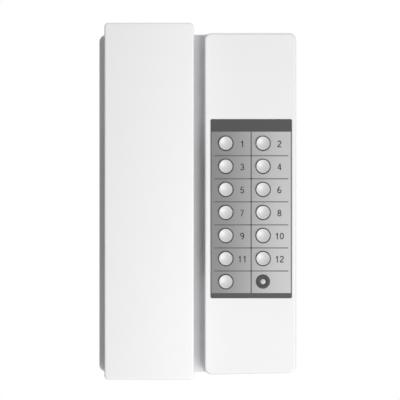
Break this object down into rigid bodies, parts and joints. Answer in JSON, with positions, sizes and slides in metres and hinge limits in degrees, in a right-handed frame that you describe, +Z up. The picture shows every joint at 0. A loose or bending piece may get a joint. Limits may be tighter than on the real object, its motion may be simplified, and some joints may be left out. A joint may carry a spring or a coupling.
{
  "type": "audio intercom handset",
  "caption": "Wall intercom: slab handset on a cradle beside a raised console with a grey label, round white keys and a ringed lamp.",
  "frame": {"origin": "centre of the wall bracket's back face, on the wall", "axes": "+Z up the wall, along the handset; +X to the viewer's right; +Y into the wall, so the front looks along -Y"},
  "size_m": [0.1246, 0.058, 0.2216],
  "materials": {
    "cover_plastic": "fine satin, light grey-white",
    "rear_plastic": "satin, light grey",
    "handset_plastic": "fine satin, light grey-white",
    "key_plastic": "matt white",
    "label_grey": "printed matt grey sheet",
    "ring_black": "gloss black",
    "lamp_lens": "milky clear",
    "silicone": "matt silicone",
    "circuit_board": "green solder mask",
    "core_steel": "laminated core",
    "relay_plastic": "moulded blue",
    "can_aluminium": "sleeved can",
    "terminal_plastic": "moulded green",
    "connector_black": "moulded black",
    "speaker_metal": "black pressed frame",
    "plunger_plastic": "natural white",
    "spring_steel": "bright wire",
    "jack_plastic": "moulded black",
    "screw_steel": "zinc plated",
    "zinc_steel": "galvanised sheet",
    "weight_iron": "plain bar",
    "foam": "open foam",
    "capsule_metal": "pressed can",
    "boot_rubber": "matt rubber"
  },
  "bodies": {
    "base": {"wall_bracket": "zinc_steel", "rear_cover": "rear_plastic", "front_cover": "cover_plastic", "case_screws": "screw_steel", "keypad_label": "label_grey", "keypad_mat": "silicone", "lamp_ring": "ring_black", "in_use_lamp": "lamp_lens", "main_board": "circuit_board", "audio_transformer": "core_steel", "relay": "relay_plastic", "capacitors": "can_aluminium", "terminal_board": "circuit_board", "terminal_blocks": "terminal_plastic", "board_link": "connector_black", "call_speaker": "speaker_metal", "hook_spring": "spring_steel", "hook_switch": "connector_black", "base_jack": "jack_plastic"},
    "handset": {"handset_front_shell": "handset_plastic", "handset_rear_shell": "handset_plastic", "handset_screws": "screw_steel", "handset_board": "circuit_board", "handset_jack": "jack_plastic", "handset_weight": "weight_iron", "receiver_pad": "foam", "receiver_capsule": "capsule_metal", "microphone_boot": "boot_rubber", "microphone_capsule": "capsule_metal"},
    "hook_plunger": {"hook_plunger": "plunger_plastic"},
    "key_01": {"key_01": "key_plastic"},
    "key_02": {"key_02": "key_plastic"},
    "key_03": {"key_03": "key_plastic"},
    "key_04": {"key_04": "key_plastic"},
    "key_05": {"key_05": "key_plastic"},
    "key_06": {"key_06": "key_plastic"},
    "key_07": {"key_07": "key_plastic"},
    "key_08": {"key_08": "key_plastic"},
    "key_09": {"key_09": "key_plastic"},
    "key_10": {"key_10": "key_plastic"},
    "key_11": {"key_11": "key_plastic"},
    "key_12": {"key_12": "key_plastic"},
    "key_page": {"key_page": "key_plastic"}
  },
  "joints": [
    {"name": "handset_lift", "type": "slide", "parent": "base", "child": "handset", "axis": [0, -1, 0], "range_m": [0, 0.06]},
    {"name": "hook_plunger_travel", "type": "slide", "parent": "base", "child": "hook_plunger", "axis": [0, -1, 0], "range_m": [0, 0.0035], "deforming": ["hook_spring"]},
    {"name": "key_01_press", "type": "slide", "parent": "base", "child": "key_01", "axis": [0, 1, 0], "range_m": [0, 0.0012], "stiffness_N_per_m": 300, "deforming": ["keypad_mat"]},
    {"name": "key_02_press", "type": "slide", "parent": "base", "child": "key_02", "axis": [0, 1, 0], "range_m": [0, 0.0012], "stiffness_N_per_m": 300, "deforming": ["keypad_mat"]},
    {"name": "key_03_press", "type": "slide", "parent": "base", "child": "key_03", "axis": [0, 1, 0], "range_m": [0, 0.0012], "stiffness_N_per_m": 300, "deforming": ["keypad_mat"]},
    {"name": "key_04_press", "type": "slide", "parent": "base", "child": "key_04", "axis": [0, 1, 0], "range_m": [0, 0.0012], "stiffness_N_per_m": 300, "deforming": ["keypad_mat"]},
    {"name": "key_05_press", "type": "slide", "parent": "base", "child": "key_05", "axis": [0, 1, 0], "range_m": [0, 0.0012], "stiffness_N_per_m": 300, "deforming": ["keypad_mat"]},
    {"name": "key_06_press", "type": "slide", "parent": "base", "child": "key_06", "axis": [0, 1, 0], "range_m": [0, 0.0012], "stiffness_N_per_m": 300, "deforming": ["keypad_mat"]},
    {"name": "key_07_press", "type": "slide", "parent": "base", "child": "key_07", "axis": [0, 1, 0], "range_m": [0, 0.0012], "stiffness_N_per_m": 300, "deforming": ["keypad_mat"]},
    {"name": "key_08_press", "type": "slide", "parent": "base", "child": "key_08", "axis": [0, 1, 0], "range_m": [0, 0.0012], "stiffness_N_per_m": 300, "deforming": ["keypad_mat"]},
    {"name": "key_09_press", "type": "slide", "parent": "base", "child": "key_09", "axis": [0, 1, 0], "range_m": [0, 0.0012], "stiffness_N_per_m": 300, "deforming": ["keypad_mat"]},
    {"name": "key_10_press", "type": "slide", "parent": "base", "child": "key_10", "axis": [0, 1, 0], "range_m": [0, 0.0012], "stiffness_N_per_m": 300, "deforming": ["keypad_mat"]},
    {"name": "key_11_press", "type": "slide", "parent": "base", "child": "key_11", "axis": [0, 1, 0], "range_m": [0, 0.0012], "stiffness_N_per_m": 300, "deforming": ["keypad_mat"]},
    {"name": "key_12_press", "type": "slide", "parent": "base", "child": "key_12", "axis": [0, 1, 0], "range_m": [0, 0.0012], "stiffness_N_per_m": 300, "deforming": ["keypad_mat"]},
    {"name": "key_page_press", "type": "slide", "parent": "base", "child": "key_page", "axis": [0, 1, 0], "range_m": [0, 0.0012], "stiffness_N_per_m": 300, "deforming": ["keypad_mat"]}
  ],
  "couplings": [
    {"joint": "hook_plunger_travel", "follows": "handset_lift", "ratio": 0.058333}
  ]
}
